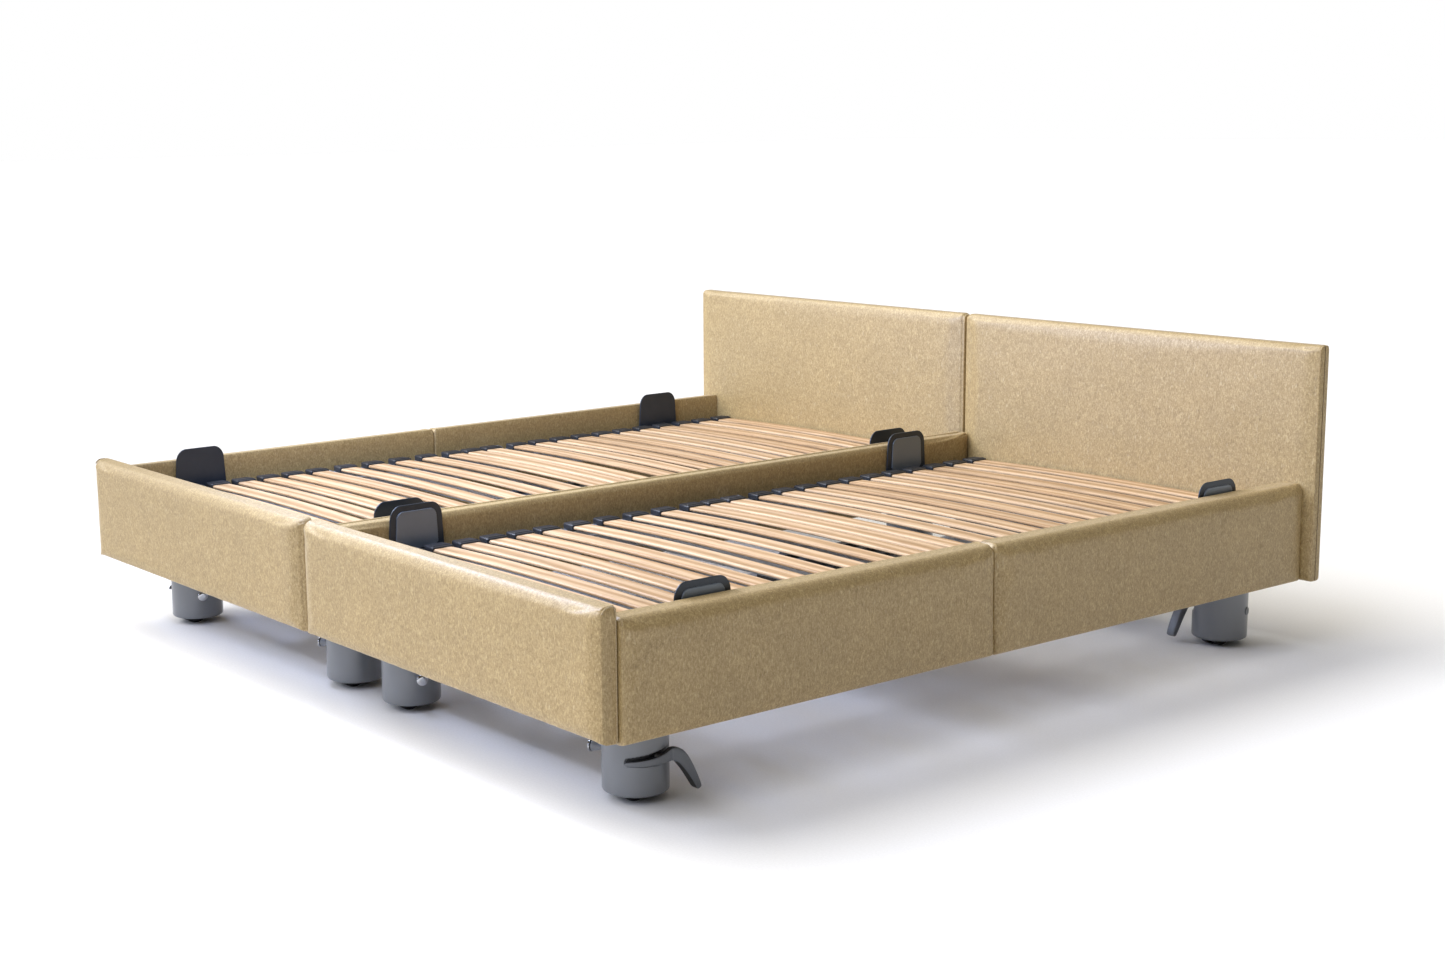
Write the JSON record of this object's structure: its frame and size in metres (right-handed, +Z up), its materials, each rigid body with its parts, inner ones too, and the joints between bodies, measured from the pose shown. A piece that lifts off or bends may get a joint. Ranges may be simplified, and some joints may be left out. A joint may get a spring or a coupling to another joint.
{
  "type": "adjustable double bed base",
  "caption": "Upholstered double adjustable bed base: two bases side by side, each with its own lift, back, thigh and calf sections, slats and braked castors under round leg covers.",
  "frame": {"origin": "middle of the bounding box at floor level, with the base lowered and flat", "axes": "+X across both bases towards the right one, +Y from the foot end to the headboard, +Z up"},
  "size_m": [2.25, 2.14, 0.742],
  "materials": {
    "upholstery": "woven beige melange",
    "frame_steel": "satin silver grey powder coat",
    "retainer_steel": "dark blue-grey powder coat",
    "cover_plastic": "satin blue-grey",
    "castor_plastic": "black",
    "wheel_rubber": "dark grey tread",
    "pedal_plastic": "satin blue-grey",
    "drive_plastic": "dark grey",
    "pusher_plastic": "off-white acetal",
    "slat_wood": "beech veneer"
  },
  "bodies": {
    "chassis": {"chassis": "frame_steel", "leg_covers": "cover_plastic"},
    "left_column_mids": {"left_column_mids": "frame_steel"},
    "left_lying_frame": {"left_lying_frame": "frame_steel", "left_foot_panel": "upholstery", "left_side_panel_foot": "upholstery", "left_side_panel_head": "upholstery", "left_inner_panel": "upholstery", "left_headboard": "upholstery", "left_dual_drive": "drive_plastic", "left_seat_slats": "slat_wood"},
    "left_back_section": {"left_back_frame": "frame_steel", "left_back_slats": "slat_wood", "left_back_retainers": "retainer_steel"},
    "left_thigh_section": {"left_thigh_frame": "frame_steel", "left_thigh_slats": "slat_wood"},
    "left_calf_section": {"left_calf_frame": "frame_steel", "left_calf_slats": "slat_wood", "left_calf_retainers": "retainer_steel"},
    "left_back_pusher": {"left_back_pusher": "pusher_plastic"},
    "left_thigh_pusher": {"left_thigh_pusher": "pusher_plastic"},
    "left_foot_inner_castor": {"left_foot_inner_fork": "castor_plastic"},
    "left_foot_inner_wheels": {"left_foot_inner_wheels": "wheel_rubber"},
    "left_foot_outer_castor": {"left_foot_outer_fork": "castor_plastic"},
    "left_foot_outer_wheels": {"left_foot_outer_wheels": "wheel_rubber"},
    "left_head_inner_castor": {"left_head_inner_fork": "castor_plastic"},
    "left_head_inner_wheels": {"left_head_inner_wheels": "wheel_rubber"},
    "left_head_outer_castor": {"left_head_outer_fork": "castor_plastic"},
    "left_head_outer_wheels": {"left_head_outer_wheels": "wheel_rubber"},
    "left_foot_outer_pedal": {"left_foot_outer_pedal": "pedal_plastic"},
    "left_head_outer_pedal": {"left_head_outer_pedal": "pedal_plastic"},
    "right_column_mids": {"right_column_mids": "frame_steel"},
    "right_lying_frame": {"right_lying_frame": "frame_steel", "right_foot_panel": "upholstery", "right_side_panel_foot": "upholstery", "right_side_panel_head": "upholstery", "right_inner_panel": "upholstery", "right_headboard": "upholstery", "right_dual_drive": "drive_plastic", "right_seat_slats": "slat_wood"},
    "right_back_section": {"right_back_frame": "frame_steel", "right_back_slats": "slat_wood", "right_back_retainers": "retainer_steel"},
    "right_thigh_section": {"right_thigh_frame": "frame_steel", "right_thigh_slats": "slat_wood"},
    "right_calf_section": {"right_calf_frame": "frame_steel", "right_calf_slats": "slat_wood", "right_calf_retainers": "retainer_steel"},
    "right_back_pusher": {"right_back_pusher": "pusher_plastic"},
    "right_thigh_pusher": {"right_thigh_pusher": "pusher_plastic"},
    "right_foot_inner_castor": {"right_foot_inner_fork": "castor_plastic"},
    "right_foot_inner_wheels": {"right_foot_inner_wheels": "wheel_rubber"},
    "right_foot_outer_castor": {"right_foot_outer_fork": "castor_plastic"},
    "right_foot_outer_wheels": {"right_foot_outer_wheels": "wheel_rubber"},
    "right_head_inner_castor": {"right_head_inner_fork": "castor_plastic"},
    "right_head_inner_wheels": {"right_head_inner_wheels": "wheel_rubber"},
    "right_head_outer_castor": {"right_head_outer_fork": "castor_plastic"},
    "right_head_outer_wheels": {"right_head_outer_wheels": "wheel_rubber"},
    "right_foot_outer_pedal": {"right_foot_outer_pedal": "pedal_plastic"},
    "right_head_outer_pedal": {"right_head_outer_pedal": "pedal_plastic"}
  },
  "joints": [
    {"name": "left_lift", "type": "slide", "parent": "chassis", "child": "left_lying_frame", "axis": [0, 0, 1], "range_m": [0, 0.32]},
    {"name": "left_column_stage", "type": "slide", "parent": "chassis", "child": "left_column_mids", "axis": [0, 0, 1], "range_m": [0, 0.16]},
    {"name": "left_back", "type": "hinge", "parent": "left_lying_frame", "child": "left_back_section", "pos_m": [-0.5375, 0.16, 0.322], "axis": [1, 0, 0], "range_deg": [0, 70]},
    {"name": "left_thigh", "type": "hinge", "parent": "left_lying_frame", "child": "left_thigh_section", "pos_m": [-0.5375, -0.07, 0.322], "axis": [-1, 0, 0], "range_deg": [0, 35]},
    {"name": "left_calf", "type": "hinge", "parent": "left_thigh_section", "child": "left_calf_section", "pos_m": [-0.5375, -0.42, 0.322], "axis": [-1, 0, 0], "range_deg": [-52.5, 0]},
    {"name": "left_back_push", "type": "slide", "parent": "left_lying_frame", "child": "left_back_pusher", "axis": [0, 1, 0], "range_m": [0, 0.1034]},
    {"name": "left_thigh_push", "type": "slide", "parent": "left_lying_frame", "child": "left_thigh_pusher", "axis": [0, -1, 0], "range_m": [0, 0.0543]},
    {"name": "left_foot_inner_swivel", "type": "hinge", "parent": "chassis", "child": "left_foot_inner_castor", "pos_m": [-0.122, -0.87, 0], "axis": [0, 0, 1], "continuous": true},
    {"name": "left_foot_inner_roll", "type": "hinge", "parent": "left_foot_inner_castor", "child": "left_foot_inner_wheels", "pos_m": [-0.122, -0.886, 0.035], "axis": [1, 0, 0], "continuous": true},
    {"name": "left_foot_outer_swivel", "type": "hinge", "parent": "chassis", "child": "left_foot_outer_castor", "pos_m": [-0.93, -0.87, 0], "axis": [0, 0, 1], "continuous": true},
    {"name": "left_foot_outer_roll", "type": "hinge", "parent": "left_foot_outer_castor", "child": "left_foot_outer_wheels", "pos_m": [-0.93, -0.886, 0.035], "axis": [1, 0, 0], "continuous": true},
    {"name": "left_head_inner_swivel", "type": "hinge", "parent": "chassis", "child": "left_head_inner_castor", "pos_m": [-0.122, 0.953, 0], "axis": [0, 0, 1], "continuous": true},
    {"name": "left_head_inner_roll", "type": "hinge", "parent": "left_head_inner_castor", "child": "left_head_inner_wheels", "pos_m": [-0.122, 0.937, 0.035], "axis": [1, 0, 0], "continuous": true},
    {"name": "left_head_outer_swivel", "type": "hinge", "parent": "chassis", "child": "left_head_outer_castor", "pos_m": [-0.93, 0.953, 0], "axis": [0, 0, 1], "continuous": true},
    {"name": "left_head_outer_roll", "type": "hinge", "parent": "left_head_outer_castor", "child": "left_head_outer_wheels", "pos_m": [-0.93, 0.937, 0.035], "axis": [1, 0, 0], "continuous": true},
    {"name": "left_foot_outer_brake", "type": "hinge", "parent": "chassis", "child": "left_foot_outer_pedal", "pos_m": [-0.93, -0.87, 0.096], "axis": [1, 0, 0], "range_deg": [-6, 12]},
    {"name": "left_head_outer_brake", "type": "hinge", "parent": "chassis", "child": "left_head_outer_pedal", "pos_m": [-0.93, 0.953, 0.096], "axis": [-1, 0, 0], "range_deg": [-6, 12]},
    {"name": "right_lift", "type": "slide", "parent": "chassis", "child": "right_lying_frame", "axis": [0, 0, 1], "range_m": [0, 0.32]},
    {"name": "right_column_stage", "type": "slide", "parent": "chassis", "child": "right_column_mids", "axis": [0, 0, 1], "range_m": [0, 0.16]},
    {"name": "right_back", "type": "hinge", "parent": "right_lying_frame", "child": "right_back_section", "pos_m": [0.5375, 0.16, 0.322], "axis": [1, 0, 0], "range_deg": [0, 70]},
    {"name": "right_thigh", "type": "hinge", "parent": "right_lying_frame", "child": "right_thigh_section", "pos_m": [0.5375, -0.07, 0.322], "axis": [-1, 0, 0], "range_deg": [0, 35]},
    {"name": "right_calf", "type": "hinge", "parent": "right_thigh_section", "child": "right_calf_section", "pos_m": [0.5375, -0.42, 0.322], "axis": [-1, 0, 0], "range_deg": [-52.5, 0]},
    {"name": "right_back_push", "type": "slide", "parent": "right_lying_frame", "child": "right_back_pusher", "axis": [0, 1, 0], "range_m": [0, 0.1034]},
    {"name": "right_thigh_push", "type": "slide", "parent": "right_lying_frame", "child": "right_thigh_pusher", "axis": [0, -1, 0], "range_m": [0, 0.0543]},
    {"name": "right_foot_inner_swivel", "type": "hinge", "parent": "chassis", "child": "right_foot_inner_castor", "pos_m": [0.122, -0.87, 0], "axis": [0, 0, 1], "continuous": true},
    {"name": "right_foot_inner_roll", "type": "hinge", "parent": "right_foot_inner_castor", "child": "right_foot_inner_wheels", "pos_m": [0.122, -0.886, 0.035], "axis": [1, 0, 0], "continuous": true},
    {"name": "right_foot_outer_swivel", "type": "hinge", "parent": "chassis", "child": "right_foot_outer_castor", "pos_m": [0.93, -0.87, 0], "axis": [0, 0, 1], "continuous": true},
    {"name": "right_foot_outer_roll", "type": "hinge", "parent": "right_foot_outer_castor", "child": "right_foot_outer_wheels", "pos_m": [0.93, -0.886, 0.035], "axis": [1, 0, 0], "continuous": true},
    {"name": "right_head_inner_swivel", "type": "hinge", "parent": "chassis", "child": "right_head_inner_castor", "pos_m": [0.122, 0.953, 0], "axis": [0, 0, 1], "continuous": true},
    {"name": "right_head_inner_roll", "type": "hinge", "parent": "right_head_inner_castor", "child": "right_head_inner_wheels", "pos_m": [0.122, 0.937, 0.035], "axis": [1, 0, 0], "continuous": true},
    {"name": "right_head_outer_swivel", "type": "hinge", "parent": "chassis", "child": "right_head_outer_castor", "pos_m": [0.93, 0.953, 0], "axis": [0, 0, 1], "continuous": true},
    {"name": "right_head_outer_roll", "type": "hinge", "parent": "right_head_outer_castor", "child": "right_head_outer_wheels", "pos_m": [0.93, 0.937, 0.035], "axis": [1, 0, 0], "continuous": true},
    {"name": "right_foot_outer_brake", "type": "hinge", "parent": "chassis", "child": "right_foot_outer_pedal", "pos_m": [0.93, -0.87, 0.096], "axis": [1, 0, 0], "range_deg": [-6, 12]},
    {"name": "right_head_outer_brake", "type": "hinge", "parent": "chassis", "child": "right_head_outer_pedal", "pos_m": [0.93, 0.953, 0.096], "axis": [-1, 0, 0], "range_deg": [-6, 12]}
  ],
  "couplings": [
    {"joint": "left_column_stage", "follows": "left_lift", "ratio": 0.5},
    {"joint": "left_calf", "follows": "left_thigh", "ratio": -1.5},
    {"joint": "left_back_push", "follows": "left_back", "m_per_rad": 0.0845},
    {"joint": "left_thigh_push", "follows": "left_thigh", "m_per_rad": 0.0886},
    {"joint": "right_column_stage", "follows": "right_lift", "ratio": 0.5},
    {"joint": "right_calf", "follows": "right_thigh", "ratio": -1.5},
    {"joint": "right_back_push", "follows": "right_back", "m_per_rad": 0.0845},
    {"joint": "right_thigh_push", "follows": "right_thigh", "m_per_rad": 0.0886}
  ]
}
